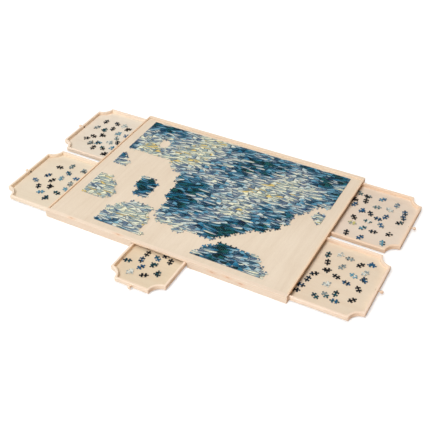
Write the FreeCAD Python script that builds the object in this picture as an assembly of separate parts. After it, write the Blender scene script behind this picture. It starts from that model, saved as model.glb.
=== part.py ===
"""Wooden jigsaw board: a thin case with a rimmed work surface and five pull-out sorting drawers.

Millimetres. The origin is at the middle of the case's underside, +X runs along the long side,
+Y from the front rail to the back rail and +Z up. Each drawer is built in a frame of its own,
with x running inward from the middle of its front face and z up from its underside.
"""
import FreeCAD, Part
import math
import os

V = FreeCAD.Vector

# Heights, from the underside up
panel_thickness = 3.5      # bottom panel, which the drawers slide on
running_gap = 0.4          # under each drawer
drawer_height = 15.6       # drawer walls
head_gap = 0.4             # over the drawer walls, and over the taller back strips
lath_thickness = 1.6       # stop laths glued under the work board
board_thickness = 3.0      # work board
lip_rise = 4.5             # rim above the work surface

# Case in plan
rail_width = 13.0          # front and back rails
lip_width = 6.0            # strips along the two ends
divider_width = 21.0       # between the two drawers of a side
partition_width = 20.0     # behind the side drawers, and behind the front drawer
middle_width = 279.0       # between the partitions
lath_width = 30.0
board_tongue = 3.0         # depth of the groove that holds the work board
panel_ledge = 6.0          # width of the rebate that holds the bottom panel

# Drawers
drawer_length = 284.0
drawer_width = 306.0
side_gap = 2.0             # each side of a side drawer
front_drawer_length = 230.0
front_drawer_width = 200.0
front_side_gap = 3.0       # each side of the front drawer
closing_gap = 1.0          # behind a closed drawer
wall = 8.0                 # drawer strips
floor_thickness = 3.0
floor_ledge = 4.0          # width of the rebate that holds the drawer floor
scoop_radius = 38.0        # concave front corners
tip_arris = 2.2            # eased upright edges, where a scoop meets a straight side
rim_arris = 2.0            # eased top edge of the walls

# Knob and its screw
knob_foot_radius = 3.6
knob_neck_radius = 2.5
knob_neck_length = 4.9
knob_head_radius = 5.6
knob_flat_count = 12       # round the knob
knob_band_count = 5        # from the neck to the flat tip of the head
screw_radius = 1.5
screw_hole_radius = 1.8
screw_fit = 0.05           # between the screw and the knob's pilot hole
screw_bite = 9.0           # length of screw inside the knob
screw_head_radius = 3.2
screw_head_height = 2.0
screw_flat_count = 8

# How far each drawer is short of its stop, as it is drawn out
stop_gap = 0.5             # left between the back strip and the stop lath
short_left_front = 33.5
short_left_back = 31.5
short_right_front = 13.5
short_right_back = 17.5
short_front = 19.5

# Jigsaw puzzle
piece_thickness = 2.0
column_count = 44
row_count = 34
puzzle_side_margin = 37.5  # from each lip
puzzle_front_margin = 25.5
puzzle_back_margin = 13.5
tab_neck_share = 0.26      # of a piece's side
tab_head_share = 0.42
tab_height_share = 0.21
tab_scatter = (12.9898, 78.233, 37.719)   # mixes a grid point into the way its tab points
loose_turn = 137.5         # degrees from one loose piece to the next

same_place = 0.001         # points nearer to each other than this are one

# Levels and outlines that follow from the sizes above
z_drawer = panel_thickness + running_gap
z_opening = z_drawer + drawer_height + head_gap
z_under_board = z_opening + lath_thickness
z_board = z_under_board + board_thickness
case_height = z_board + lip_rise
back_height = z_under_board - head_gap - z_drawer
half_length = middle_width / 2 + partition_width + closing_gap + drawer_length
bay_width = drawer_width + 2 * side_gap
half_depth = rail_width + bay_width + divider_width / 2
inner_x = half_length - lip_width
inner_y = half_depth - rail_width
partition_x = middle_width / 2 + partition_width
notch_x = front_drawer_width / 2 + front_side_gap
front_stop_y = -half_depth + front_drawer_length + closing_gap
bay_y = (divider_width + bay_width) / 2
side_travel = drawer_length - wall - lip_width - lath_width - stop_gap
front_travel = front_drawer_length - wall - rail_width - lath_width - stop_gap
piece_length = 2 * (inner_x - puzzle_side_margin) / column_count
piece_depth = (2 * inner_y - puzzle_front_margin - puzzle_back_margin) / row_count

# Where the puzzle is built so far: outlines in columns and rows, counted from its front left corner
main_section = [
    (0, 34.1), (44.1, 34.1), (44.1, 22.4), (42.5, 22.8), (41.5, 21.5), (39.5, 19), (39, 16), (38, 14.5),
    (38, 12.8), (35, 11), (33, 9.3), (31, 8.2), (29.4, 5.6), (28.2, 4.4), (25, 5.6), (23.4, 4.9),
    (22.4, 3.9), (19.5, 5.5), (17.3, 4.9), (16, 7.5), (16.5, 10.8), (14.4, 12.7), (15.4, 14.4),
    (14.4, 17.3), (13.4, 18.1), (14.2, 19.3), (12.4, 20), (10, 22.4), (8.4, 22.8), (0, 22.8),
]
open_patch = [(5.2, 25.8), (7.3, 25.8), (7.3, 28.6), (5.2, 28.6)]
islands = [
    [(0, 16.8), (2.6, 16.8), (2.6, 18.7), (1.6, 20.4), (0, 20.8)],
    [(0, 5.7), (3, 5.7), (6, 7.2), (5.2, 9.6), (4.2, 11.1), (2.6, 12.9), (0, 12.9)],
    [(8.2, 12.6), (9.7, 10.1), (12.4, 10.4), (12.4, 13.6), (11.4, 15.4), (9.6, 16.4), (8.2, 15.3)],
    [(7, 0), (17, 0), (15.6, 3), (15.8, 4.6), (14.6, 7.6), (13.3, 8.1), (10.6, 8.1), (8.6, 5.6),
     (7.4, 4.4)],
    [(26.6, 0), (41.4, 0), (40.6, 1.6), (38.4, 4.1), (36.2, 5.2), (33.4, 4.6), (30.6, 5.1), (28.6, 3.7),
     (28.4, 1.6)],
    [(42, 20.3), (42.3, 18.6), (44.1, 18.2), (44.1, 21.4), (42.3, 21.2)],
]

# Loose pieces: how far each lies inward from the drawer's front face and across from its middle,
# in hundredths of the drawer's length and width
loose_left_front = [
    (42, 32), (62, 31), (29, 24), (47, 19), (63, 14), (26, 5), (45, 7), (37, -1), (62, 3),
    (18, -9), (42, -12), (64, -8), (29, -17), (58, -18), (39, -25), (51, -31),
]
loose_left_back = [
    (21, 25), (38, 27), (49, 27), (59, 22), (39, 15), (18, 9), (31, 8), (52, 9), (65, 9), (36, -3),
    (57, -1), (26, -10), (64, -9), (54, -13), (20, -18), (31, -24), (41, -20), (64, -22), (53, -27),
    (41, -31), (62, -36),
]
loose_right_front = [
    (69, -28), (56, -34), (45, -32), (31, -28), (20, -33), (22, -19), (65, -17), (48, -17), (61, -6),
    (32, -10), (19, -9), (48, -1), (71, 5), (35, 3), (20, 6), (74, 15), (53, 13), (39, 22), (20, 23),
    (77, 26), (48, 28), (36, 32), (57, 34), (79, 35),
]
loose_right_back = [
    (65, -32), (47, -34), (28, -31), (76, -34), (64, -23), (77, -21), (48, -18), (33, -20), (15, -22),
    (74, -12), (14, -13), (62, -5), (51, -4), (33, -6), (15, -3), (40, 1), (66, 10), (49, 10), (33, 10),
    (64, 20), (50, 23), (37, 24), (19, 20), (64, 38), (47, 39), (21, 37),
]
loose_front = [
    (65, 17), (63, -3), (65, -25), (73, -13), (51, 18), (49, -6), (41, 37), (38, 10), (37, -22), (24, 20),
    (26, -4),
]


def box(x_range, y_range, z_range):
    """A straight block between the given limits."""
    low = V(x_range[0], y_range[0], z_range[0])
    return Part.makeBox(x_range[1] - low.x, y_range[1] - low.y, z_range[1] - low.z, low)


def centred(half):
    """The range from minus half to half."""
    return (-half, half)


def upright(centre, radius, height):
    """A cylinder standing on z = 0."""
    return Part.makeCylinder(radius, height, V(centre[0], centre[1], 0))


def prism(points, thickness):
    """A flat plate with the outline points."""
    outline = [V(x, y, 0) for x, y in points]
    return Part.Face(Part.makePolygon(outline + outline[:1])).extrude(V(0, 0, thickness))


# ---------------------------------------------------------------- case

def bottom_panel():
    edge_y = inner_y + panel_ledge
    return box(centred(half_length), centred(edge_y), (0, panel_thickness))


def work_board():
    x_range = centred(inner_x + board_tongue)
    y_range = centred(inner_y + board_tongue)
    return box(x_range, y_range, (z_under_board, z_board))


def rail(side):
    """A long rail, side -1 at the front and 1 at the back, rebated and grooved for the two panels."""
    y_range = sorted((side * half_depth, side * inner_y))
    blank = box(centred(half_length), y_range, (0, case_height))
    return blank.cut(bottom_panel()).cut(work_board())


def front_rail():
    """The front rail is cut away below for the front drawer."""
    notch = box(centred(notch_x), (-half_depth, -inner_y), (0, z_opening))
    return rail(-1).cut(notch)


def lip(side):
    """The strip over the drawer openings of one end, grooved for the work board."""
    x_range = sorted((side * half_length, side * inner_x))
    return box(x_range, centred(inner_y), (z_opening, case_height)).cut(work_board())


def divider(side):
    """Keeps the two drawers of one end apart, and carries the middle of the lip."""
    x_range = sorted((side * partition_x, side * half_length))
    blank = box(x_range, centred(divider_width / 2), (panel_thickness, z_under_board))
    return blank.cut(box(sorted((side * half_length, side * inner_x)), centred(divider_width),
                         (z_opening, case_height)))


def partition(side):
    """Runs from rail to rail behind the two drawers of one end."""
    x_range = sorted((side * partition_x, side * middle_width / 2))
    return box(x_range, centred(inner_y), (panel_thickness, z_under_board))


def front_guides():
    """The pair of battens that the front drawer runs between."""
    y_range = (-inner_y, front_stop_y)
    z_range = (panel_thickness, z_under_board)
    guides = []
    for side in (-1, 1):
        x_range = sorted((side * notch_x, side * middle_width / 2))
        guides.append(box(x_range, y_range, z_range))
    return Part.makeCompound(guides)


def front_bay_stop():
    y_range = (front_stop_y, front_stop_y + partition_width)
    return box(centred(middle_width / 2), y_range, (panel_thickness, z_under_board))


def stop_laths():
    """One lath inside each opening, which the taller back strip of the drawer meets."""
    z_range = (z_opening, z_under_board)
    laths = [box(centred(notch_x), (-inner_y, -inner_y + lath_width), z_range)]
    for side_x in (-1, 1):
        for side_y in (-1, 1):
            x_range = sorted((side_x * inner_x, side_x * (inner_x - lath_width)))
            y_range = sorted((side_y * inner_y, side_y * divider_width / 2))
            laths.append(box(x_range, y_range, z_range))
    return Part.makeCompound(laths)


# ---------------------------------------------------------------- drawers

def scooped(length, width, height, inset, back_inset, radius):
    """A plate within the drawer's outline by the insets, its two front corners scooped to the radius."""
    half = width / 2
    plate = box((inset, length - back_inset), centred(half - inset), (0, height))
    for side in (-1, 1):
        plate = plate.cut(upright((0, side * half), radius, height))
    return plate


def upright_edges(solid, points):
    """The upright edges of solid that stand on the given points."""
    found = []
    for edge in solid.Edges:
        middle = edge.CenterOfMass
        is_upright = edge.BoundBox.XLength + edge.BoundBox.YLength < same_place
        if is_upright and any(math.hypot(middle.x - x, middle.y - y) < same_place for x, y in points):
            found.append(edge)
    return found


def drawer_rim(length, width):
    """Front, sides and scooped corners as one moulding, open at the back, before it is parted."""
    half = width / 2
    blank = scooped(length, width, drawer_height, 0, 0, scoop_radius)
    tips = []
    for side in (-1, 1):
        tips.append((0, side * (half - scoop_radius)))
        tips.append((scoop_radius, side * half))
    blank = blank.makeChamfer(tip_arris, upright_edges(blank, tips))
    top = [edge for edge in blank.Edges if edge.BoundBox.ZMin > drawer_height - same_place]
    shoulder = [edge for edge in top if edge.CenterOfMass.x < length - same_place]
    blank = blank.makeChamfer(rim_arris, shoulder)
    return blank.cut(scooped(length, width, drawer_height, wall, 0, scoop_radius + wall))


def drawer_floor(length, width):
    """Let into rebates under the walls, and fitted against the two corner pieces."""
    inset = wall - floor_ledge
    return scooped(length, width, floor_thickness, inset, inset, scoop_radius + wall)


def back_strip(length, width):
    """Stands higher than the walls, so that it meets the stop lath."""
    blank = box((length - wall, length), centred(width / 2 - wall), (0, back_height))
    return blank.cut(drawer_floor(length, width))


def turned(profile, flats):
    """A turned solid, worked in flats about the x axis, through (x, radius) points from end to end."""
    angles = [2 * math.pi * flat / flats for flat in range(flats)]
    rings = [[V(x, radius * math.cos(angle), radius * math.sin(angle)) for angle in angles]
             for x, radius in profile]
    outlines = [rings[0], rings[-1]]
    for ring, following in zip(rings, rings[1:]):
        for flat in range(flats):
            after = (flat + 1) % flats
            outlines.append([ring[flat], ring[after], following[after], following[flat]])
    faces = [Part.Face(Part.makePolygon(outline + outline[:1])) for outline in outlines]
    return Part.makeSolid(Part.makeShell(faces))


def knob():
    """A turned knob, its foot on the front face: a flared neck and a ball head on the x axis."""
    seat = math.sqrt(knob_head_radius ** 2 - knob_neck_radius ** 2)
    ball = knob_neck_length + seat
    profile = [(0, knob_foot_radius), (-knob_neck_length / 3, knob_neck_radius)]
    first = math.atan2(knob_neck_radius, seat)
    for step in range(knob_band_count + 1):
        angle = first + (math.pi - first) * step / (knob_band_count + 0.5)
        profile.append((knob_head_radius * math.cos(angle) - ball, knob_head_radius * math.sin(angle)))
    pilot_radius = screw_radius + screw_fit
    pilot = turned([(0, pilot_radius), (-screw_bite, pilot_radius)], screw_flat_count)
    return raised(turned(profile, knob_flat_count).cut(pilot))


def knob_screw():
    """A pan-head screw from inside the front strip, through it and into the knob."""
    brim = screw_head_height / 2
    head = turned([(wall, screw_head_radius), (wall + brim, screw_head_radius),
                   (wall + screw_head_height, screw_head_radius - brim)], screw_flat_count)
    shank = turned([(-screw_bite, screw_radius), (wall + brim, screw_radius)], screw_flat_count)
    return raised(head.fuse(shank))


def raised(shape):
    """Moves a shape from the x axis to the knob's height on the drawer."""
    return shape.translated(V(0, 0, drawer_height / 2))


def drawer(length, width, loose):
    """The pieces of one drawer in its own frame, by the names that follow the drawer's name."""
    half = width / 2
    reach = scoop_radius + wall
    rim = drawer_rim(length, width).cut(drawer_floor(length, width))
    corner_spaces = [box((0, reach), sorted((side * half, side * (half - reach))), (0, drawer_height))
                     for side in (-1, 1)]
    corners = [rim.common(space) for space in corner_spaces]
    strips = rim.cut(corner_spaces[0]).cut(corner_spaces[1]).Solids
    right_side, front, left_side = sorted(strips, key=lambda strip: strip.CenterOfMass.y)
    screw_hole = raised(turned([(0, screw_hole_radius), (wall, screw_hole_radius)], screw_flat_count))
    return {
        "floor": drawer_floor(length, width),
        "front": front.cut(screw_hole),
        "side_a": right_side,
        "side_b": left_side,
        "corners": Part.makeCompound(corners),
        "back": back_strip(length, width),
        "knob": knob(),
        "knob_screw": knob_screw(),
        "loose_pieces": loose_pieces(length, width, loose),
    }


# ---------------------------------------------------------------- jigsaw

def edge_points(start, end, bulge):
    """One side of a piece from start towards end, its tab on the right for bulge 1 and the left for -1."""
    along = V(end[0] - start[0], end[1] - start[1], 0)
    reach = min(piece_length, piece_depth) * tab_height_share
    outward = V(along.y, -along.x, 0).normalize() * reach * bulge
    neck = tab_neck_share / 2
    head = tab_head_share / 2
    spots = [(0, 0), (0.5 - neck, 0), (0.5 - head, 1), (0.5 + head, 1), (0.5 + neck, 0)]
    if bulge == 0:
        spots = spots[:1]
    return [(start[0] + along.x * share + outward.x * rise, start[1] + along.y * share + outward.y * rise)
            for share, rise in spots]


def loose_piece(bulges):
    """One piece about the origin, its four sides with a tab, a socket or neither."""
    x = piece_length / 2
    y = piece_depth / 2
    corners = [(-x, -y), (x, -y), (x, y), (-x, y)]
    outline = []
    for number, bulge in enumerate(bulges):
        outline += edge_points(corners[number], corners[(number + 1) % 4], bulge)
    return prism(outline, piece_thickness)


def loose_pieces(length, width, places):
    """Pieces lying flat on a drawer's floor, at hundredths of its size, each turned by its own angle."""
    kinds = [(1, -1, 1, -1), (1, 0, -1, 0), (0, 1, 0, -1), (-1, 0, 0, 1), (0, -1, 1, 0)]
    shapes = []
    for number, (inward, across) in enumerate(places):
        piece = loose_piece(kinds[number % len(kinds)])
        piece.rotate(V(0, 0, 0), V(0, 0, 1), (number * loose_turn) % 360)
        piece.translate(V(inward * length / 100, across * width / 100, floor_thickness))
        shapes.append(piece)
    return Part.makeCompound(shapes)


def inside(point, outline):
    """Whether a point lies in a closed outline: it is when a ray from it crosses an odd number of sides."""
    crossings = 0
    for (x1, y1), (x2, y2) in zip(outline, outline[1:] + outline[:1]):
        if (y1 > point[1]) != (y2 > point[1]):
            if point[0] < x1 + (point[1] - y1) * (x2 - x1) / (y2 - y1):
                crossings += 1
    return crossings % 2 == 1


def placed_cells():
    """The cells whose pieces are in place, with none that meet only at a corner."""
    cells = set()
    for column in range(column_count):
        for row in range(row_count):
            middle = (column + 0.5, row + 0.5)
            in_section = inside(middle, main_section) and not inside(middle, open_patch)
            if in_section or any(inside(middle, island) for island in islands):
                cells.add((column, row))
    for column in range(column_count - 1):
        for row in range(row_count - 1):
            square = [(column, row), (column + 1, row), (column, row + 1), (column + 1, row + 1)]
            held = [cell in cells for cell in square]
            if held in ([True, False, False, True], [False, True, True, False]):
                cells.update(square)
    return cells


def tab_turn(column, row, level):
    """1 or -1: the way the tab points on the edge that starts at a grid point."""
    mixed = tab_scatter[0] * column + tab_scatter[1] * row + tab_scatter[2] * level
    return 1 if math.sin(mixed) > 0 else -1


def border_edges(cells):
    """Each grid point on a border, with the next one round it and the way the tab between them points."""
    steps = [((0, 0), (1, 0), (0, -1)), ((1, 0), (1, 1), (1, 0)),
             ((1, 1), (0, 1), (0, 1)), ((0, 1), (0, 0), (-1, 0))]
    following = {}
    for column, row in cells:
        for start, end, beside in steps:
            neighbour = (column + beside[0], row + beside[1])
            if neighbour in cells:
                continue
            first = (column + start[0], row + start[1])
            last = (column + end[0], row + end[1])
            outer = not (0 <= neighbour[0] < column_count and 0 <= neighbour[1] < row_count)
            low = min(first, last)
            turn = tab_turn(low[0], low[1], start[1] == end[1])
            following[first] = (last, 0 if outer else turn)
    return following


def puzzle():
    """The part-built puzzle: every closed border of placed pieces, less the patches left open in it."""
    following = border_edges(placed_cells())
    plates = []
    holes = []
    while following:
        point = min(following)
        outline = []
        area = 0.0
        while point in following:
            after, bulge = following.pop(point)
            start = (point[0] * piece_length, point[1] * piece_depth)
            end = (after[0] * piece_length, after[1] * piece_depth)
            outline += edge_points(start, end, bulge)
            area += start[0] * end[1] - end[0] * start[1]
            point = after
        (plates if area > 0 else holes).append(prism(straightened(outline), piece_thickness))
    built = Part.makeCompound(plates)
    for hole in holes:
        built = built.cut(hole)
    corner = V(puzzle_side_margin - inner_x, puzzle_front_margin - inner_y, z_board)
    return Part.makeCompound(built.Solids).translated(corner)


def straightened(outline):
    """The outline without the points that lie on a straight run."""
    kept = []
    for before, point, after in zip(outline[-1:] + outline[:-1], outline, outline[1:] + outline[:1]):
        turn = (point[0] - before[0]) * (after[1] - point[1]) - (point[1] - before[1]) * (after[0] - point[0])
        if abs(turn) > same_place:
            kept.append(point)
    return kept


# ---------------------------------------------------------------- assembly

def assembly():
    """Every piece in its place, by name."""
    pieces = {
        "bottom_panel": bottom_panel(),
        "work_board": work_board(),
        "front_rail": front_rail(),
        "back_rail": rail(1),
        "left_lip": lip(-1),
        "right_lip": lip(1),
        "left_divider": divider(-1),
        "right_divider": divider(1),
        "left_partition": partition(-1),
        "right_partition": partition(1),
        "front_guides": front_guides(),
        "front_bay_stop": front_bay_stop(),
        "stop_laths": stop_laths(),
        "puzzle": puzzle(),
    }
    side_size = (drawer_length, drawer_width)
    front_size = (front_drawer_length, front_drawer_width)
    side_nose = half_length + side_travel
    drawers = [
        ("left_front_drawer", side_size, loose_left_front, (short_left_front - side_nose, -bay_y), 0),
        ("left_back_drawer", side_size, loose_left_back, (short_left_back - side_nose, bay_y), 0),
        ("right_front_drawer", side_size, loose_right_front, (side_nose - short_right_front, -bay_y), 180),
        ("right_back_drawer", side_size, loose_right_back, (side_nose - short_right_back, bay_y), 180),
        ("front_drawer", front_size, loose_front, (0, short_front - half_depth - front_travel), 90),
    ]
    for name, size, loose, nose, turn in drawers:
        for part_name, shape in drawer(size[0], size[1], loose).items():
            shape.rotate(V(0, 0, 0), V(0, 0, 1), turn)
            shape.translate(V(nose[0], nose[1], z_drawer))
            pieces[name + "_" + part_name] = shape
    return pieces


os.makedirs("parts", exist_ok=True)
for name, shape in assembly().items():
    shape.exportStep("parts/" + name + ".step")
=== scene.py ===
import bmesh
import bpy
import numpy as np
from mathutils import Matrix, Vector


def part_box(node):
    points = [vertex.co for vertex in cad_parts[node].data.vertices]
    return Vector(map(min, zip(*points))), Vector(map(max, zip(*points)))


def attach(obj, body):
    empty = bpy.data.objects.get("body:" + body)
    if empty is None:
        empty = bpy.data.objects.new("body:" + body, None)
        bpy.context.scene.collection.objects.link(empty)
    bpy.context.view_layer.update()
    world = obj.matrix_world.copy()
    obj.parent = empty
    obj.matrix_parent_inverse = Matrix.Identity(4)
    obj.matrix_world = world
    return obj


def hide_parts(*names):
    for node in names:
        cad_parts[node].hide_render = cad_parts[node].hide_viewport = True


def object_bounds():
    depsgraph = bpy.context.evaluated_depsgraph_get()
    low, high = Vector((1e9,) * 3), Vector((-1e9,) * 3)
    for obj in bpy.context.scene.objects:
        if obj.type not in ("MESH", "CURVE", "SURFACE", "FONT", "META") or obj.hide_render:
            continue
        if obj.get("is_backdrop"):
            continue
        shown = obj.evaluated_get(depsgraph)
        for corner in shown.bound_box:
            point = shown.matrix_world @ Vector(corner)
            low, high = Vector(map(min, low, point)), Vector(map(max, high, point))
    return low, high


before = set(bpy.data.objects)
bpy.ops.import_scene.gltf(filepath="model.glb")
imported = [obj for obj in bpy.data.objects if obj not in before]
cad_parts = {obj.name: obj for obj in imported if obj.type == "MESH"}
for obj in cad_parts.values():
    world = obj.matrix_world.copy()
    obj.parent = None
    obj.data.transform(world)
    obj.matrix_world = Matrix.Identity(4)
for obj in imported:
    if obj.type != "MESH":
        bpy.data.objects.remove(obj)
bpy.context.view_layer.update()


# ---------------------------------------------------------------- work board
# The flat top that the puzzle is built on: thin plywood faced with pale birch, let into grooves in
# the rim. Its grain runs from front to back, and it is sanded and left bare.

def tone(red, green, blue):
    """A colour as it looks on screen, 0 to 255 a channel, turned to linear light for the shaders."""
    screen = np.array((red, green, blue)) / 255
    linear = np.where(screen > 0.04045, ((screen + 0.055) / 1.055) ** 2.4, screen / 12.92)
    return (*linear, 1.0)


def add(tree, kind, inputs, **settings):
    """Adds a shader node. A socket in inputs is linked; anything else is set as the input's value."""
    node = tree.nodes.new("ShaderNode" + kind)
    for key, value in settings.items():
        setattr(node, key, value)
    for key, value in inputs.items():
        if isinstance(value, bpy.types.NodeSocket):
            tree.links.new(value, node.inputs[key])
        else:
            node.inputs[key].default_value = value
    return node


def calc(tree, operation, first, second=0.0, third=0.0):
    """The output of a Math node."""
    inputs = {0: first, 1: second, 2: third}
    return add(tree, "Math", inputs, operation=operation).outputs[0]


def blended(tree, share, first, second, kind="MIX"):
    """The colour that lies a share of the way from the first colour to the second."""
    mix = add(tree, "Mix", {"Factor": share, 6: first, 7: second}, data_type="RGBA", blend_type=kind)
    return mix.outputs[2]


def ramp(tree, value, *stops, kind="LINEAR"):
    """A colour ramp through (place, colour) stops."""
    node = add(tree, "ValToRGB", {0: value})
    node.color_ramp.interpolation = kind
    points = node.color_ramp.elements
    while len(points) < len(stops):
        points.new(0.5)
    for point, (place, colour) in zip(points, stops):
        point.position = place
        point.color = colour
    return node.outputs[0]


def noise(tree, place, scale, detail=3.0, roughness=0.5, **more):
    """The grey value of a noise texture."""
    inputs = {"Vector": place, "Scale": scale, "Detail": detail, "Roughness": roughness, **more}
    return add(tree, "TexNoise", inputs).outputs[0]


def new_material(name, roughness, coat=0.0, specular=0.5):
    """A material with its shader's steady values set on the shader itself."""
    material = bpy.data.materials.new(name)
    material.use_nodes = True
    shader = material.node_tree.nodes["Principled BSDF"]
    shader.inputs["Roughness"].default_value = roughness
    shader.inputs["Coat Weight"].default_value = coat
    shader.inputs["Coat Roughness"].default_value = 0.25
    shader.inputs["Specular IOR Level"].default_value = specular
    return material, material.node_tree, shader


fibre_stretch = (0.05, 1, 1)   # streaks and fibres are drawn out 20 times along the grain
bend_stretch = (0.16, 1, 1)    # and the bends of the rings about 6 times
ring_bend = 14.0               # how far the noise bends a ring, in half rings
knot_glow = tone(234, 190, 152)
knot_core = tone(206, 148, 104)


def wood(name, pale, deep, turn=0.0, shift=0.0, rings=560.0, figure=0.32, grain=0.7, fine=0.7,
         base=0.24, coat=0.0, roughness=0.55, knots=(), knot_size=(0.020, 0.006, 0.007)):
    """Sawn wood: a share of the way from its pale to its deep colour, about base. Rings are a wave
    across the grain, bent by noise and weighted by figure; grain and fine are the weights of streaks
    and fibres along it; turn is the grain's angle from x, and shift moves the pattern from piece to
    piece. A knot is a dark core in a warm glow, round a place on the piece."""
    material, tree, shader = new_material(name, roughness, coat, 0.35)
    place = add(tree, "TexCoord", {}).outputs["Object"]
    turned = add(tree, "Mapping", {"Vector": place, "Rotation": (0, 0, -turn),
                                   "Location": (shift, shift * 0.7, shift * 0.3)}).outputs[0]
    drawn = add(tree, "Mapping", {"Vector": turned, "Scale": fibre_stretch}).outputs[0]
    across = add(tree, "SeparateXYZ", {0: turned}).outputs
    bend_place = add(tree, "Mapping", {"Vector": turned, "Scale": bend_stretch}).outputs[0]
    bend = noise(tree, bend_place, 11, 2)
    distance = calc(tree, "MULTIPLY_ADD", across[2], 0.6, across[1])
    phase = calc(tree, "MULTIPLY_ADD", distance, rings, calc(tree, "MULTIPLY", bend, ring_bend))
    ring = calc(tree, "POWER", calc(tree, "PINGPONG", phase, 1.0), 3.0)
    streak = noise(tree, drawn, 34, 5, 0.65)
    fibre = noise(tree, drawn, 1500, 3, 0.7)
    cloud = noise(tree, turned, 6, 2)
    share = calc(tree, "MULTIPLY_ADD", calc(tree, "SUBTRACT", ring, 0.25), figure, base)
    for value, weight in ((streak, grain), (fibre, fine), (cloud, 0.35)):
        share = calc(tree, "MULTIPLY_ADD", calc(tree, "SUBTRACT", value, 0.5), weight, share)
    colour = blended(tree, add(tree, "Clamp", {0: share}).outputs[0], pale, deep)
    for knot in knots:
        spot = add(tree, "VectorMath", {0: place, 1: knot}, operation="SUBTRACT").outputs[0]
        spot = add(tree, "VectorMath", {0: spot, 1: knot_size}, operation="DIVIDE").outputs[0]
        reach = add(tree, "VectorMath", {0: spot}, operation="LENGTH").outputs["Value"]
        reach = calc(tree, "ADD", reach, calc(tree, "MULTIPLY", streak, 0.8))
        glow = add(tree, "MapRange", {"Value": reach, "From Min": 1.9, "From Max": 0.5},
                   interpolation_type="SMOOTHSTEP").outputs[0]
        core = add(tree, "MapRange", {"Value": reach, "From Min": 0.85, "From Max": 0.55},
                   interpolation_type="SMOOTHSTEP").outputs[0]
        colour = blended(tree, calc(tree, "MULTIPLY", glow, 0.5), colour, knot_glow)
        colour = blended(tree, calc(tree, "MULTIPLY", core, 0.5), colour, knot_core)
    tree.links.new(colour, shader.inputs["Base Color"])
    sheen = calc(tree, "MULTIPLY_ADD", streak, 0.25, roughness - 0.12)
    tree.links.new(sheen, shader.inputs["Roughness"])
    height = calc(tree, "MULTIPLY_ADD", ring, 0.3, fibre)
    bump = add(tree, "Bump", {"Height": height, "Strength": 0.3, "Distance": 0.0002}).outputs[0]
    tree.links.new(bump, shader.inputs["Normal"])
    return material


def finish_node(node, material):
    """Gives a CAD piece that is shown as it is its material."""
    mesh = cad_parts[node].data
    mesh.materials.clear()
    mesh.materials.append(material)


quarter = np.pi / 2
birch_board = wood("birch_board", tone(237, 220, 197), tone(200, 172, 138), turn=quarter, rings=70,
                   figure=0.07, grain=0.45, fine=0.6, base=0.17)
finish_node("work_board", birch_board)


# ---------------------------------------------------------------- case
# Planed pine strips glued round the board: two long rails, a lip over each open end, and the
# dividers and partitions inside. Every arris is taken off with sandpaper.

weld_distance = 1e-6
flat_angle = 0.02      # radians: faces that meet at less are one flat face
arris = 0.0007         # radius that sandpaper leaves on an edge
arris_steps = 3


def eased(node, body, material):
    """A CAD bar with rounded edges: its faces are joined up, and a Bevel rounds each sharp edge."""
    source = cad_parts[node].data
    shape = bmesh.new()
    shape.from_mesh(source)
    bmesh.ops.remove_doubles(shape, verts=shape.verts, dist=weld_distance)
    bmesh.ops.dissolve_limit(shape, angle_limit=flat_angle, verts=shape.verts, edges=shape.edges)
    mesh = bpy.data.meshes.new(node + "_wood")
    shape.to_mesh(mesh)
    shape.free()
    mesh.materials.clear()
    mesh.materials.append(material)
    piece = bpy.data.objects.new(node + "_wood", mesh)
    bpy.context.scene.collection.objects.link(piece)
    rounding = piece.modifiers.new("arris", "BEVEL")
    rounding.width = arris
    rounding.segments = arris_steps
    rounding.limit_method = "ANGLE"
    rounding.harden_normals = True
    mesh.shade_smooth()
    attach(piece, body)
    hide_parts(node)


rail_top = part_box("front_rail")[1].z
rail_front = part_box("front_rail")[0].y
rail_knots = [(-0.340, rail_front + 0.004, rail_top), (-0.155, rail_front + 0.006, rail_top),
              (0.192, rail_front, 0.019), (0.247, rail_front, 0.021), (0.292, rail_front, 0.014)]
pine_front = wood("pine_front_rail", tone(244, 227, 206), tone(222, 182, 146), shift=0.3, coat=0.15,
                  knots=rail_knots)
pine_long = wood("pine_back_rail", tone(244, 224, 198), tone(220, 180, 142), shift=1.7, coat=0.15)
pine_short = wood("pine_lips", tone(243, 218, 188), tone(216, 172, 130), turn=quarter, shift=2.9,
                  coat=0.15)
pine_hidden = wood("pine_inside", tone(236, 208, 172), tone(206, 164, 122), shift=4.1)
eased("front_rail", "case", pine_front)
eased("back_rail", "case", pine_long)
for name in ("left_lip", "right_lip"):
    eased(name, "case", pine_short)
for name in ("left_divider", "right_divider", "left_partition", "right_partition", "front_guides",
             "front_bay_stop", "stop_laths"):
    eased(name, "case", pine_hidden)
birch_panel = wood("birch_panel", tone(226, 204, 172), tone(196, 166, 130), turn=quarter, shift=0.9,
                   rings=70, figure=0.07, grain=0.45, fine=0.6)
finish_node("bottom_panel", birch_panel)


# ---------------------------------------------------------------- drawer walls
# Each drawer has a front strip, two side strips and two scooped corner blocks, all in pine. The
# top edges and the tips of the scoops are rounded over, and a clear satin coat is wiped on.

scoop_radius = 0.038
wall = 0.008
ledge = 0.004          # where a strip is rebated over the floor
tip_round = 0.0032     # where a scoop meets a straight side
outer_round = 0.0024   # over the top edge, outside
inner_round = 0.0016
foot_round = 0.0006
tip_points = 9         # of the arc that rounds a tip
scoop_points = 33
edge_points = 6        # of the quarter circles over the top edges
sharp_angle = 0.7      # radians: an edge that turns further is shaded sharp


def arc(centre, radius, start, stop, count):
    """Points of a circle's arc: centre + radius (cos, sin) of count angles from start to stop."""
    angle = np.linspace(start, stop, count)
    return np.stack([centre[0] + radius * np.cos(angle), centre[1] + radius * np.sin(angle)], 1)


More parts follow.
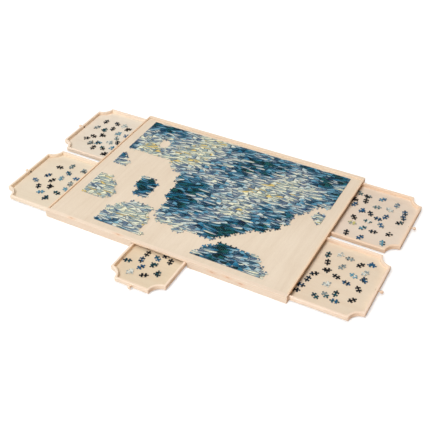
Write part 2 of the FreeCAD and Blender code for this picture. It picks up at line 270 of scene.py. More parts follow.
def corner_path(half):
    """Outer and inner edge of the corner block on the far side of a drawer, as matched points. The
    scoop is an arc about the drawer's corner, and a small arc that touches it and the side rounds
    each tip."""
    reach = scoop_radius + wall
    corner = (0.0, half)
    offset = np.sqrt(scoop_radius ** 2 + 2 * scoop_radius * tip_round)
    lean = np.arcsin(tip_round / (scoop_radius + tip_round))
    first_tip = arc((tip_round, half - offset), tip_round, np.pi, np.pi / 2 + lean,
                    tip_points)
    scoop = arc(corner, scoop_radius, -np.pi / 2 + lean, -lean, scoop_points)
    last_tip = arc((offset, half - tip_round), tip_round, np.pi - lean, np.pi / 2, tip_points)
    outer = np.concatenate([[(0.0, half - reach)], first_tip, scoop[1:-1], last_tip, [(reach, half)]])
    inside = np.arcsin(wall / reach)
    bend = arc(corner, reach, -np.pi / 2 + inside, -inside, scoop_points)
    start = np.linspace((wall, half - reach), bend[0], len(first_tip), endpoint=False)
    end = np.linspace(bend[-1], (reach, half - wall), len(last_tip) + 1)[1:]
    return outer, np.concatenate([start, bend, end])


def moulding(outer, inner, height, floor_rebate):
    """Rings of a wall: one cross-section for each matched pair of path points. A section starts at
    the outer foot, goes up the outer side, over the top, down the inner side and round the rebate for
    the floor, if it has one. Its top edges are quarter circles."""
    across = inner - outer
    width = np.linalg.norm(across, axis=1, keepdims=True)
    across = across / width
    quarter_turn = np.linspace(0, np.pi / 2, edge_points)
    outer_u = outer_round * (1 - np.cos(quarter_turn))
    outer_z = height - outer_round * (1 - np.sin(quarter_turn))
    inner_u = inner_round * (1 - np.sin(quarter_turn))
    inner_z = height - inner_round * (1 - np.cos(quarter_turn))
    from_outer = np.concatenate([[foot_round, 0.0], outer_u])
    from_inner = np.concatenate([inner_u, [0.0]])
    level = np.concatenate([[0.0, foot_round], outer_z, inner_z, [floor_rebate]])
    near = outer[:, None, :] + across[:, None, :] * from_outer[None, :, None]
    far = inner[:, None, :] - across[:, None, :] * from_inner[None, :, None]
    plan = np.concatenate([near, far], 1)
    if floor_rebate > 0:
        step = outer[:, None, :] + across[:, None, :] * np.array([ledge, ledge])[None, :, None]
        plan = np.concatenate([plan, step], 1)
        level = np.concatenate([level, [floor_rebate, 0.0]])
    rings = np.empty(plan.shape[:2] + (3,))
    rings[..., :2] = plan
    rings[..., 2] = level
    return rings


def closed_tube(rings):
    """Vertices and faces of a ring grid: quads between following rings, and a flat face at each end."""
    count, sides = rings.shape[:2]
    index = np.arange(count * sides).reshape(count, sides)
    after = np.roll(index, -1, axis=1)
    quads = np.stack([index[:-1], after[:-1], after[1:], index[1:]], -1).reshape(-1, 4)
    faces = quads.tolist() + [index[0][::-1].tolist(), index[-1].tolist()]
    return rings.reshape(-1, 3), faces


def placed(points, nose, inward):
    """Points of a drawer's own frame, x inward and y across, in the object's frame."""
    across = (-inward[1], inward[0])
    x = nose[0] + points[..., 0] * inward[0] + points[..., 1] * across[0]
    y = nose[1] + points[..., 0] * inward[1] + points[..., 1] * across[1]
    return np.stack([x, y, nose[2] + points[..., 2]], -1)


def new_piece(name, vertices, faces, materials, body, replaced=(), smooth=True):
    """A mesh object that rides on a body and stands for the CAD nodes it replaces."""
    mesh = bpy.data.meshes.new(name)
    mesh.from_pydata(vertices.tolist(), [], faces)
    for material in materials:
        mesh.materials.append(material)
    if smooth:
        mesh.shade_smooth()
    mesh.update()
    shape = bmesh.new()
    shape.from_mesh(mesh)
    bmesh.ops.recalc_face_normals(shape, faces=shape.faces)
    shape.to_mesh(mesh)
    shape.free()
    piece = bpy.data.objects.new(name, mesh)
    bpy.context.scene.collection.objects.link(piece)
    if smooth:
        mesh.set_sharp_from_angle(angle=sharp_angle)
    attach(piece, body)
    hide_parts(*replaced)
    return piece


drawers = {}
for name, inward in (("left_front_drawer", (1, 0)), ("left_back_drawer", (1, 0)),
                     ("right_front_drawer", (-1, 0)), ("right_back_drawer", (-1, 0)),
                     ("front_drawer", (0, 1))):
    corners_low, corners_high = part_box(name + "_corners")
    back_low, back_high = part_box(name + "_back")
    middle = (corners_low + corners_high) / 2
    if inward[0] > 0:
        nose, length = (corners_low.x, middle.y), back_high.x - corners_low.x
    elif inward[0] < 0:
        nose, length = (corners_high.x, middle.y), corners_high.x - back_low.x
    else:
        nose, length = (middle.x, corners_low.y), back_high.y - corners_low.y
    width = corners_high.y - corners_low.y if inward[0] else corners_high.x - corners_low.x
    drawers[name] = {"inward": inward, "nose": (*nose, corners_low.z), "length": length,
                     "width": width, "height": corners_high.z - corners_low.z,
                     "floor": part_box(name + "_floor")[1].z - corners_low.z}

rim_tones = {"left_front_drawer": ((249, 232, 210), (226, 194, 158)),
             "left_back_drawer": ((249, 231, 210), (226, 192, 158)),
             "right_front_drawer": ((249, 228, 206), (226, 186, 148)),
             "right_back_drawer": ((247, 222, 195), (220, 176, 136)),
             "front_drawer": ((250, 231, 209), (226, 190, 154))}
for number, (name, drawer) in enumerate(drawers.items()):
    half = drawer["width"] / 2
    reach = scoop_radius + wall
    pale, deep = (tone(*shade) for shade in rim_tones[name])
    along = quarter if drawer["inward"][1] else 0.0
    side_pine = wood(name + "_side_pine", pale, deep, along, 5 + number, coat=0.25, roughness=0.5)
    front_pine = wood(name + "_front_pine", pale, deep, along + quarter, 11 + number, coat=0.25,
                      roughness=0.5)
    height, floor = drawer["height"], drawer["floor"]
    front = moulding(np.array([(0, reach - half), (0, half - reach)]),
                     np.array([(wall, reach - half), (wall, half - reach)]), height, floor)
    sides = []
    for side in (-1, 1):
        sides.append(moulding(np.array([(reach, side * half), (drawer["length"], side * half)]),
                              np.array([(reach, side * (half - wall)),
                                        (drawer["length"], side * (half - wall))]), height, floor))
    outer, inner = corner_path(half)
    block = moulding(outer, inner, height, 0.0)
    blocks = [block, block * np.array([1, -1, 1])]
    for part, rings, material in (("front", [front], front_pine), ("side_a", sides[:1], side_pine),
                                  ("side_b", sides[1:], side_pine), ("corners", blocks, front_pine)):
        vertices, faces = [], []
        for ring in rings:
            points, quads = closed_tube(placed(ring, drawer["nose"], drawer["inward"]))
            faces += [[corner + sum(map(len, vertices)) for corner in quad] for quad in quads]
            vertices.append(points)
        new_piece(f"{name}_{part}_wood", np.concatenate(vertices), faces, [material], name,
                  [f"{name}_{part}"])
    eased(name + "_back", name, front_pine)


# ---------------------------------------------------------------- drawer floors
# Thin birch plywood let into the rebates under the walls, sanded and left bare. The sheets differ
# a little in colour, and the front drawer's is the yellowest.

floor_tones = {"left_front_drawer": ((235, 221, 198), (212, 186, 152)),
               "left_back_drawer": ((237, 225, 207), (214, 192, 164)),
               "right_front_drawer": ((235, 218, 194), (214, 184, 150)),
               "right_back_drawer": ((234, 217, 198), (210, 186, 160)),
               "front_drawer": ((232, 214, 186), (208, 178, 140))}
for number, (name, drawer) in enumerate(drawers.items()):
    pale, deep = (tone(*shade) for shade in floor_tones[name])
    sheet = wood(name + "_birch", pale, deep, 0.0, 17 + number, rings=70, figure=0.07, grain=0.5,
                 fine=0.6)
    finish_node(name + "_floor", sheet)


# ---------------------------------------------------------------- knobs and screws
# A small turned birch knob on each drawer front, held by one bronzed pan-head screw from inside.

def lathe(profile, sides=48):
    """Rings of a turned shape about the x axis: one circle for each (x, radius) point."""
    angle = np.linspace(0, 2 * np.pi, sides, endpoint=False)
    x, radius = np.array(profile).T
    rings = np.empty((len(x), sides, 3))
    rings[..., 0] = x[:, None]
    rings[..., 1] = radius[:, None] * np.cos(angle)
    rings[..., 2] = radius[:, None] * np.sin(angle)
    return rings


foot_radius = 0.0036
foot_edge = 0.0004         # the straight rim of the foot, along the knob
neck_radius = 0.0022
head_radius = 0.0055
head_bite = 0.0001         # the screw's head is drawn this far into the wood
brim_radius = 0.0031
brim_height = 0.0006
crown_height = 0.0013      # from the brim up to the flat crown
crown_round = 0.0018       # from the brim in to the flat crown
crown_radius = 0.0013
crown_rings = np.linspace(0.0011, 0.0001, 12)   # radii of the circles on the flat crown
slot_half_width = 0.00038
slot_reach = 0.0016        # of each arm of the cross slot, from the middle
slot_cut = 0.0010          # its depth
slot_side = 0.0001         # width of its sloping sides
slot_end = 0.0003
birch_knob = wood("turned_birch", tone(246, 222, 196), tone(214, 170, 132), 0.3, 23, coat=0.3,
                  roughness=0.45)
screw_metal, tree, shader = new_material("bronzed_steel", 0.38)
place = add(tree, "TexCoord", {}).outputs["Object"]
wear = noise(tree, place, 900, 4, 0.6)
bronze = ramp(tree, wear, (0.35, tone(58, 44, 34)), (0.7, tone(96, 78, 62)))
tree.links.new(bronze, shader.inputs["Base Color"])
tree.links.new(calc(tree, "MULTIPLY_ADD", wear, 0.3, 0.25), shader.inputs["Roughness"])
shader.inputs["Metallic"].default_value = 0.9
for name, drawer in drawers.items():
    knob_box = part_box(name + "_knob")
    reach = max((knob_box[1] - knob_box[0])[axis] for axis in (0, 1))
    centre_z = (knob_box[0].z + knob_box[1].z) / 2 - drawer["nose"][2]
    head_start = np.arcsin(neck_radius / head_radius)
    head = arc((-reach + head_radius, 0), head_radius, head_start, np.pi - 0.02, 22)
    neck_length = -head[0][0] - foot_edge
    profile = [(0.0, foot_radius), (-foot_edge, foot_radius)]
    for share in np.linspace(0, 1, 9)[1:-1]:
        flare = (foot_radius - neck_radius) * (1 - share) ** 4
        profile.append((-foot_edge - neck_length * share, neck_radius + flare))
    profile += [tuple(point) for point in head]
    rings = lathe(profile)
    rings[..., 2] += centre_z
    points, faces = closed_tube(placed(rings, drawer["nose"], drawer["inward"]))
    new_piece(name + "_knob_turned", points, faces, [birch_knob], name,
              [name + "_knob"])

    brim = wall + brim_height
    head_points = [(wall - head_bite, brim_radius)]
    for angle in np.linspace(0, np.pi / 2, 7):
        head_points.append((brim + crown_height * np.sin(angle),
                            crown_radius + crown_round * np.cos(angle)))
    head_points += [(brim + crown_height, radius) for radius in crown_rings]
    rings = lathe(head_points)
    across, up = np.abs(rings[..., 1]), np.abs(rings[..., 2])
    slot_depth = np.clip((slot_half_width - np.minimum(across, up)) / slot_side, 0, 1)
    slot_depth *= np.clip((slot_reach - np.maximum(across, up)) / slot_end, 0, 1)
    rings[..., 0] -= slot_cut * slot_depth
    rings[..., 2] += centre_z
    points, faces = closed_tube(placed(rings, drawer["nose"], drawer["inward"]))
    new_piece(name + "_screw_head", points, faces, [screw_metal], name,
              [name + "_knob_screw"])


# ---------------------------------------------------------------- puzzle
# The part-built jigsaw: die-cut pieces of printed grey board, each with tabs and sockets that fit
# its neighbours, with a hair of a gap at every cut. The print is a plain pattern of leaves.

column_count = 44
row_count = 34
cut_gap = 0.00009      # from a piece's edge to the middle of the cut
die_round = 0.00022    # where the die pressed the printed edge over
neck = (0.41, 0.59)    # of a tab, as shares of a piece's side
tab_radius = 0.175
tab_middle = 0.195     # how far the middle of the tab's head is from the side
tab_arc = np.radians((230, -50))   # where the head's circle starts and ends
tab_drift = 0.03       # a tab's greatest shift along its side
tab_points = 6         # round a tab's head


def tab_curve(count):
    """One side of a piece along x from 0 to 1: its corner, one side of the neck, count points round
    the head's circle, and the other side of the neck. Height is towards the tab's tip."""
    angle = np.linspace(tab_arc[0], tab_arc[1], count)
    head = np.stack([0.5 + tab_radius * np.cos(angle), tab_middle + tab_radius * np.sin(angle)], 1)
    return np.concatenate([[(0.0, 0.0), (neck[0], 0.0)], head, [(neck[1], 0.0), (1.0, 0.0)]])


def piece_sides(start, end, bulge, drift, curve):
    """Sides of pieces between start and end points: the curve, stretched along the side and raised to
    its left by the bulge, with its tab moved along by the drift."""
    along = end - start
    left = np.stack([-along[..., 1], along[..., 0]], -1)
    is_tab = np.ones(len(curve))
    is_tab[[0, -1]] = 0
    share = (curve[:, 0] + drift[..., None] * is_tab)[..., None]
    rise = (curve[:, 1] * bulge[..., None])[..., None]
    return start[..., None, :] + along[..., None, :] * share + left[..., None, :] * rise


def drawn_in(outlines, gap):
    """Outlines moved inwards: each point goes along the mean of the normals of its two sides."""
    edges = np.roll(outlines, -1, axis=-2) - outlines
    edges = edges / np.linalg.norm(edges, axis=-1, keepdims=True)
    normal = np.stack([-edges[..., 1], edges[..., 0]], -1)
    normal = normal + np.roll(normal, 1, axis=-2)
    normal = normal / np.maximum(np.linalg.norm(normal, axis=-1, keepdims=True), 0.5)
    return outlines + normal * gap


def card_pieces(outlines, low, high, underside):
    """The outlines raised from low to high, the upper edge pressed over, and each face's material: 0
    on the print and 1 on the cut sides and on the underside, which pieces that never lift go
    without."""
    count, sides_count = outlines.shape[:2]
    edge = drawn_in(outlines, cut_gap)
    top = drawn_in(edge, die_round)
    rings = np.empty((count, 3, sides_count, 3))
    rings[:, 0, :, :2], rings[:, 1, :, :2], rings[:, 2, :, :2] = edge, edge, top
    rings[..., 2] = np.array([low, high - die_round, high])[None, :, None]
    index = np.arange(rings[..., 0].size).reshape(count, 3, sides_count)
    after = np.roll(index, -1, axis=2)
    quads = np.stack([index[:, :-1], after[:, :-1], after[:, 1:], index[:, 1:]], -1)
    faces = quads[:, 0].reshape(-1, 4).tolist() + quads[:, 1].reshape(-1, 4).tolist()
    faces += index[:, 2].tolist()
    material = [1] * (count * sides_count) + [0] * (count * sides_count + count)
    if underside:
        faces += index[:, 0, ::-1].tolist()
        material += [1] * count
    return rings.reshape(-1, 3), faces, material


def grey_board(name):
    """The cut edge of pulp board: pale grey with short fibres."""
    material, tree, shader = new_material(name, 0.85, specular=0.2)
    place = add(tree, "TexCoord", {}).outputs["Object"]
    pulp = noise(tree, place, 1500, 4, 0.7)
    colour = ramp(tree, pulp, (0.3, tone(150, 146, 138)), (0.7, tone(196, 192, 182)))
    tree.links.new(colour, shader.inputs["Base Color"])
    bump = add(tree, "Bump", {"Height": pulp, "Strength": 0.4, "Distance": 0.0001}).outputs[0]
    tree.links.new(bump, shader.inputs["Normal"])
    return material


leaf_narrowing = 2.8    # how fast a leaf narrows from its middle to its tips
leaf_half_width = 0.38  # of a cell
vein_pitch = 0.0045


def leaves(tree, place, size, turn, slender, seed):
    """One layer of printed leaves. Voronoi cells give every leaf its middle and three numbers of its
    own, the first of which also leans it; a leaf is where the distance across its rib is under a width
    that falls away towards both ends. Returns its shape, its numbers, its rim and rib, and how far it
    is shaded: one half is darker than the other, and both have slanting veins."""
    spread = add(tree, "Mapping", {"Vector": place, "Rotation": (0, 0, turn),
                                   "Location": (seed, seed, 0),
                                   "Scale": (1 / size, slender / size, 1)}).outputs[0]
    cell = add(tree, "TexVoronoi", {"Vector": spread, "Scale": 1.0, "Randomness": 0.75},
               voronoi_dimensions="2D").outputs
    numbers = add(tree, "SeparateColor", {0: cell["Color"]}).outputs
    offset = add(tree, "VectorMath", {0: spread, 1: cell["Position"]},
                 operation="SUBTRACT").outputs[0]
    lean = calc(tree, "MULTIPLY_ADD", numbers[0], 0.9, -0.45)
    leaned = add(tree, "VectorRotate", {"Vector": offset, "Angle": lean},
                 rotation_type="Z_AXIS").outputs[0]
    parts = add(tree, "SeparateXYZ", {0: leaned}).outputs
    along, across = parts[0], calc(tree, "ABSOLUTE", parts[1])
    fall = calc(tree, "MULTIPLY", calc(tree, "MULTIPLY", along, along), leaf_narrowing)
    width = calc(tree, "MULTIPLY", calc(tree, "SUBTRACT", 1.0, fall), leaf_half_width)
    inside = calc(tree, "SUBTRACT", width, across)
    shape = add(tree, "MapRange", {"Value": inside, "From Max": 0.03}).outputs[0]
    rim = add(tree, "MapRange", {"Value": inside, "From Min": 0.08, "From Max": 0.03}).outputs[0]
    rib = add(tree, "MapRange", {"Value": across, "From Min": 0.05, "From Max": 0.02}).outputs[0]
    slant = calc(tree, "MULTIPLY_ADD", across, 0.9, along)
    veins = calc(tree, "PINGPONG", calc(tree, "MULTIPLY", slant, size / vein_pitch), 1.0)
    half = add(tree, "MapRange", {"Value": parts[1], "From Min": -0.03, "From Max": 0.03}).outputs[0]
    shade = calc(tree, "MULTIPLY_ADD", veins, 0.35, calc(tree, "MULTIPLY", half, 0.65))
    return shape, numbers, calc(tree, "MAXIMUM", rim, rib), shade


leaf_print, tree, shader = new_material("leaf_print", 0.6, specular=0.2)
place = add(tree, "TexCoord", {}).outputs["Object"]
drift_place = add(tree, "Mapping", {"Vector": place, "Location": (1, 5, 0)}).outputs[0]
depth = calc(tree, "MULTIPLY_ADD", noise(tree, drift_place, 4, 3, 0.5), 3.9, -1.45)
stroke = noise(tree, add(tree, "Mapping", {"Vector": place, "Rotation": (0, 0, -0.5),
                                           "Scale": (0.25, 1, 1)}).outputs[0], 200, 3, 0.6)
speck = noise(tree, place, 260, 3, 0.75)
value = calc(tree, "MULTIPLY_ADD", stroke, 2.2, calc(tree, "MULTIPLY_ADD", depth, 0.6, -0.95))
picture = ramp(tree, value, (0.1, tone(6, 12, 20)), (0.35, tone(14, 40, 78)),
               (0.6, tone(36, 86, 138)), (0.85, tone(140, 172, 190)), (1.0, tone(232, 232, 220)))
# Layers of leaves, from the lowest to the topmost: size, turn, slenderness and seed.
layers = ((0.068, 0.5, 4.4, 3.1), (0.065, -0.7, 4.6, 8.7), (0.062, 1.3, 4.4, 15.3),
          (0.056, 0.0, 4.6, 27.9), (0.060, -1.2, 4.4, 41.3))
pale_leaf = 0.84       # leaves whose third number is over this are paler
golden_leaf = 0.78     # and those whose second number is over this are golden, in the lightest drifts
golden_depth = 0.82
for size, turn, slender, seed in layers:
    shape, numbers, line, shade = leaves(tree, place, size, turn, slender, seed)
    value = calc(tree, "MULTIPLY_ADD", numbers[0], 0.5, calc(tree, "SUBTRACT", depth, 0.22))
    value = calc(tree, "MULTIPLY_ADD", speck, 0.5, calc(tree, "SUBTRACT", value, 0.25))
    bloom = calc(tree, "GREATER_THAN", numbers[2], pale_leaf)
    value = calc(tree, "MULTIPLY_ADD", bloom, 0.45, value)
    pale = ramp(tree, value, (0.0, tone(26, 96, 94)), (0.2, tone(42, 128, 168)),
                (0.42, tone(132, 190, 210)), (0.62, tone(236, 240, 226)), (1.0, tone(255, 249, 214)))
    deep = ramp(tree, value, (0.0, tone(3, 7, 8)), (0.3, tone(6, 26, 46)), (0.62, tone(16, 68, 116)),
                (0.9, tone(64, 122, 154)), (1.0, tone(140, 166, 168)))
    golden = calc(tree, "MULTIPLY", calc(tree, "GREATER_THAN", numbers[1], golden_leaf),
                  calc(tree, "GREATER_THAN", depth, golden_depth))
    pale = blended(tree, golden, pale, tone(244, 212, 110))
    leaf = blended(tree, shade, pale, deep)
    leaf = blended(tree, calc(tree, "MULTIPLY", line, 0.8), leaf, tone(8, 16, 34))
    picture = blended(tree, shape, picture, leaf)
tree.links.new(picture, shader.inputs["Base Color"])
tree.links.new(calc(tree, "MULTIPLY_ADD", speck, 0.2, 0.32), shader.inputs["Roughness"])
linen = add(tree, "Bump", {"Height": speck, "Strength": 0.15, "Distance": 0.0001}).outputs[0]
tree.links.new(linen, shader.inputs["Normal"])
pulp_board = grey_board("pulp_board")

puzzle_low, puzzle_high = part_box("puzzle")
# A piece is in place where the middle of its cell lies under a triangle of the CAD puzzle's top.
puzzle_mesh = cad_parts["puzzle"].data
corners = np.array([vertex.co for vertex in puzzle_mesh.vertices])
triangles = np.array([face.vertices for face in puzzle_mesh.polygons])
flat = corners[triangles]
flat = flat[np.all(flat[..., 2] > puzzle_high.z - weld_distance, axis=1)][..., :2]
step = np.array([(puzzle_high.x - puzzle_low.x) / column_count,
                 (puzzle_high.y - puzzle_low.y) / row_count])
column, row = np.meshgrid(np.arange(column_count), np.arange(row_count), indexing="ij")
middle = np.array([puzzle_low.x, puzzle_low.y]) + step * (np.stack([column, row], -1) + 0.5)
spot = middle[:, :, None, :]
turns = []
for first in range(3):
    a, b = flat[:, first], flat[:, (first + 1) % 3]
    run = (b[:, 0] - a[:, 0]) * (spot[..., 1] - a[:, 1])
    rise = (b[:, 1] - a[:, 1]) * (spot[..., 0] - a[:, 0])
    turns.append(run - rise)
turns = np.stack(turns)
held = np.any(np.all(turns >= 0, axis=0) | np.all(turns <= 0, axis=0), axis=-1)

puzzle_seed = 7
rng = np.random.default_rng(puzzle_seed)
grid_column, grid_row = np.meshgrid(np.arange(column_count + 1), np.arange(row_count + 1),
                                    indexing="ij")
grid = np.stack([grid_column, grid_row], -1) * step + np.array([puzzle_low.x, puzzle_low.y])
padded_held = np.pad(held, 1).astype(int)
column_mix, row_mix, level_mix = 12.9898, 78.233, 37.719   # scatter the ways in which the tabs point
mixed = column_mix * grid_column + row_mix * grid_row
level_turn = np.where(np.sin(mixed + level_mix) > 0, 1, -1)[:-1, :]
upright_turn = np.where(np.sin(mixed) > 0, 1, -1)[:, :-1]
below, above = padded_held[1:-1, :-1], padded_held[1:-1, 1:]
before, behind = padded_held[:-1, 1:-1], padded_held[1:, 1:-1]
level_turn = level_turn * np.where(above > below, -1, 1)
upright_turn = upright_turn * np.where(behind > before, 1, -1)
level_turn[:, [0, -1]] = 0
upright_turn[[0, -1], :] = 0
curve = tab_curve(tab_points)
level_drift = rng.uniform(-tab_drift, tab_drift, level_turn.shape)
upright_drift = rng.uniform(-tab_drift, tab_drift, upright_turn.shape)
level = piece_sides(grid[:-1, :], grid[1:, :], level_turn, level_drift, curve)
upright = piece_sides(grid[:, :-1], grid[:, 1:], upright_turn, upright_drift, curve)
outlines = np.concatenate([level[:, :-1, :-1], upright[1:, :, :-1], level[:, 1:, :0:-1],
                           upright[:-1, :, :0:-1]], axis=2)
vertices, faces, material = card_pieces(outlines[held], puzzle_low.z, puzzle_high.z, False)
jigsaw = new_piece("jigsaw_pieces", vertices, faces, [leaf_print, pulp_board], "case",
                   ["puzzle"], smooth=False)
jigsaw.data.polygons.foreach_set("material_index", material)


# ---------------------------------------------------------------- loose pieces
# Pieces sorted into the drawers, lying flat. Each is printed in one ink with patches of a second,
# so some are nearly black and others are blue, teal, grey or cream.

loose_turn = np.radians(137.5)   # from one loose piece to the next
loose_drift = 0.04
loose_tab_points = 9
odd_share = 0.3        # of the loose pieces, with three tabs or three sockets instead of two of each
inks = {"K": (10, 13, 18), "N": (16, 40, 56), "B": (32, 90, 128), "T": (24, 80, 88),
        "S": (96, 152, 170), "G": (142, 154, 152), "W": (226, 226, 214), "Y": (206, 196, 120)}
# For each piece: how far it lies inward and across, in hundredths of the drawer, and its two inks.
loose = {
    "left_front_drawer": "42,32,TG 62,31,GK 29,24,KK 47,19,BT 63,14,BS 26,5,KB 45,7,SG 37,-1,KK "
                         "62,3,KG 18,-9,BG 42,-12,KK 64,-8,SB 29,-17,KN 58,-18,TK 39,-25,SB "
                         "51,-31,NT",
    "left_back_drawer": "21,25,KN 38,27,NK 49,27,WG 59,22,KK 39,15,KN 18,9,GN 31,8,TK 52,9,SG "
                        "65,9,BB 36,-3,KK 57,-1,TW 26,-10,KK 64,-9,KN 54,-13,GW 20,-18,KK "
                        "31,-24,KG 41,-20,SK 64,-22,SB 53,-27,KT 41,-31,KK 62,-36,KK",
    "right_front_drawer": "69,-28,TK 56,-34,WG 45,-32,GK 31,-28,KK 20,-33,BT 22,-19,WG 65,-17,KK "
                          "48,-17,GN 61,-6,KK 32,-10,SW 19,-9,NB 48,-1,KK 71,5,KN 35,3,BN 20,6,KK "
                          "74,15,NK 53,13,WG 39,22,KT 20,23,KK 77,26,KB 48,28,TG 36,32,TB 57,34,TN "
                          "79,35,NK",
    "right_back_drawer": "65,-32,KG 47,-34,BS 28,-31,GB 76,-34,TG 64,-23,KK 77,-21,KK 48,-18,GT "
                         "33,-20,WG 15,-22,BN 74,-12,BN 14,-13,NB 62,-5,BN 51,-4,NK 33,-6,BN "
                         "15,-3,KT 40,1,NB 66,10,KK 49,10,WT 33,10,BG 64,20,YG 50,23,TS 37,24,KN "
                         "19,20,KK 64,38,KN 47,39,BN 21,37,SK",
    "front_drawer": "65,17,KK 63,-3,BT 65,-25,KK 73,-13,KN 51,18,BK 49,-6,KT 41,37,NT 38,10,BN "
                    "37,-22,KT 24,20,WG 26,-4,KK",
}
loose_print, tree, shader = new_material("loose_print", 0.42, coat=0.06, specular=0.25)
place = add(tree, "TexCoord", {}).outputs["Object"]
main = add(tree, "Attribute", {}, attribute_name="main_ink").outputs["Color"]
second = add(tree, "Attribute", {}, attribute_name="second_ink").outputs["Color"]
patch = noise(tree, place, 95, 2, 0.5)
share = add(tree, "MapRange", {"Value": patch, "From Min": 0.47, "From Max": 0.58},
            interpolation_type="SMOOTHSTEP").outputs[0]
brush_place = add(tree, "Mapping", {"Vector": place, "Scale": (1, 0.3, 1)}).outputs[0]
brush = noise(tree, brush_place, 520, 3, 0.6)
colour = blended(tree, share, main, second)
light = add(tree, "MapRange", {"Value": brush, "From Min": 0.3, "From Max": 0.75, "To Min": 0.65,
                               "To Max": 1.3}).outputs[0]
light = add(tree, "CombineColor", {0: light, 1: light, 2: light}).outputs[0]
colour = blended(tree, 1.0, colour, light, "MULTIPLY")
tree.links.new(colour, shader.inputs["Base Color"])
curve = tab_curve(loose_tab_points)
for name, drawer in drawers.items():
    entries = [entry.split(",") for entry in loose[name].split()]
    where = np.array([(float(inward), float(across)) for inward, across, _ in entries]) / 100
    count = len(entries)
    half = step / 2
    corner = np.array([(-1, -1), (1, -1), (1, 1), (-1, 1)]) * half
    start = np.broadcast_to(corner, (count, 4, 2))
    end = np.roll(start, -1, axis=1)
    bulge = rng.choice([1.0, -1.0], (count, 1)) * np.array([1, -1, 1, -1])
    odd = rng.random(count) < odd_share
    bulge[odd, 2] *= -1
    drift = rng.uniform(-loose_drift, loose_drift, (count, 4))
    shape = piece_sides(start, end, bulge, drift, curve)[:, :, :-1].reshape(count, -1, 2)
    turn = np.arange(count) * loose_turn
    cos, sin = np.cos(turn)[:, None], np.sin(turn)[:, None]
    turned = np.stack([shape[..., 0] * cos - shape[..., 1] * sin,
                       shape[..., 0] * sin + shape[..., 1] * cos], -1)
    turned += (where * np.array([drawer["length"], drawer["width"]]))[:, None, :]
    low = drawer["floor"]
    vertices, faces, material = card_pieces(turned, low, low + puzzle_high.z - puzzle_low.z, True)
    vertices = placed(vertices, drawer["nose"], drawer["inward"])
    piece = new_piece(name + "_loose_cards", vertices, faces, [loose_print, pulp_board], name,
                      [name + "_loose_pieces"], smooth=False)
    piece.data.polygons.foreach_set("material_index", material)
    for attribute, letter in (("main_ink", 0), ("second_ink", 1)):
        colours = np.array([tone(*inks[entry[2][letter]]) for entry in entries])
        layer = piece.data.color_attributes.new(attribute, "FLOAT_COLOR", "POINT")
        layer.data.foreach_set("color", np.repeat(colours, 3 * shape.shape[1], axis=0).ravel())


# ---------------------------------------------------------------- studio
# A pale floor, soft lights from above and from every side, with a warm one low on the right, and
# the camera.

floor_size = 40
floor_drop = 0.0004    # below the part's underside, so that no two faces share a plane
floor_glow = 0.5       # of the floor near the part; it rises to 1 between near and far
glow_near, glow_far = 1.2, 4.0
bpy.ops.mesh.primitive_plane_add(size=floor_size, location=(0, 0, -floor_drop))
floor = bpy.context.object
floor.name = "floor"
paper, tree, shader = new_material("floor_paper", 0.9, specular=0.1)
shader.inputs["Emission Color"].default_value = (1, 1, 1, 1)
place = add(tree, "TexCoord", {}).outputs["Object"]
mottle = ramp(tree, noise(tree, place, 30), (0.3, tone(202, 199, 196)), (0.7, tone(214, 211, 208)))
tree.links.new(mottle, shader.inputs["Base Color"])
seen = add(tree, "LightPath", {}).outputs["Is Camera Ray"]
far = add(tree, "VectorMath", {0: place}, operation="LENGTH").outputs["Value"]
lift = add(tree, "MapRange", {"Value": far, "From Min": glow_near, "From Max": glow_far,
                              "To Min": floor_glow}).outputs[0]
tree.links.new(calc(tree, "MULTIPLY", seen, lift), shader.inputs["Emission Strength"])
floor.data.materials.append(paper)
floor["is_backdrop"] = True

world = bpy.data.worlds.new("studio")
bpy.context.scene.world = world
world.use_nodes = True
sky = world.node_tree.nodes["Background"]
sky_light = 0.06       # the sky is white to look at, but lights the part only this much
sky_colour = (1.0, 0.95, 0.90, 1)
tree = world.node_tree
seen = add(tree, "LightPath", {}).outputs["Is Camera Ray"]
tree.links.new(blended(tree, seen, sky_colour, (1, 1, 1, 1)), sky.inputs["Color"])
tree.links.new(calc(tree, "MULTIPLY_ADD", seen, 1 - sky_light, sky_light), sky.inputs["Strength"])
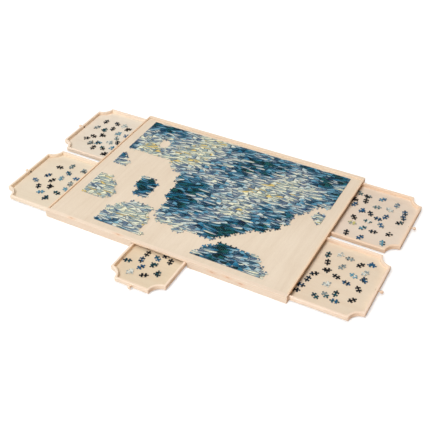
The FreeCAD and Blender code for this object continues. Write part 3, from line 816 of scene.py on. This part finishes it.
bpy.context.scene.view_settings.view_transform = "Standard"


def softbox(name, place, size, power, colour):
    """A square area light of a size in metres and a power in watts, aimed at the board's middle."""
    lamp = bpy.data.lights.new(name, "AREA")
    lamp.size = size
    lamp.energy = power
    lamp.color = colour
    light = bpy.data.objects.new(name, lamp)
    bpy.context.scene.collection.objects.link(light)
    light.location = place
    light.rotation_euler = light.location.to_track_quat("Z", "Y").to_euler()


white = (1.0, 1.0, 1.0)
softbox("key", (-0.9, -4.5, 6.6), 3.2, 410, (0.97, 1.0, 1.04))
softbox("top", (-0.6, 0.6, 6.0), 4.0, 135, white)
softbox("back", (1.0, 7.0, 1.6), 3.0, 110, white)
softbox("left", (-7.0, 1.0, 1.6), 3.0, 80, white)
softbox("front", (-2.0, -7.0, 1.3), 3.0, 165, (0.97, 1.0, 1.03))
softbox("side", (6.0, -2.0, 1.3), 3.0, 66, (1.0, 0.50, 0.18))

# The camera stands right of the front and above the board, and leans a little to one side.
azimuth, elevation, roll = np.radians(28.809), np.radians(39.075), np.radians(-0.709)
distance = 2.704221
focal_length = 66.98   # millimetres, on a sensor of 36
sensor_width = 36
nearest = 0.05         # what is closer to the camera isn't drawn
aim_at = np.array([0.057635, -0.06285, 0.0])
back = np.array([np.sin(azimuth) * np.cos(elevation), -np.cos(azimuth) * np.cos(elevation),
                 np.sin(elevation)])
right = np.array([np.cos(azimuth), np.sin(azimuth), 0.0])
up = np.cross(back, right)
turned_right = np.cos(roll) * right + np.sin(roll) * up
turned_up = -np.sin(roll) * right + np.cos(roll) * up
lens = bpy.data.cameras.new("camera")
lens.sensor_width = sensor_width
lens.lens = focal_length
lens.clip_start = nearest
camera = bpy.data.objects.new("camera", lens)
bpy.context.scene.collection.objects.link(camera)
matrix = Matrix.Identity(4)
for line in range(3):
    matrix[line][0] = turned_right[line]
    matrix[line][1] = turned_up[line]
    matrix[line][2] = back[line]
    matrix[line][3] = aim_at[line] + back[line] * distance
camera.matrix_world = matrix
bpy.context.scene.camera = camera

low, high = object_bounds()
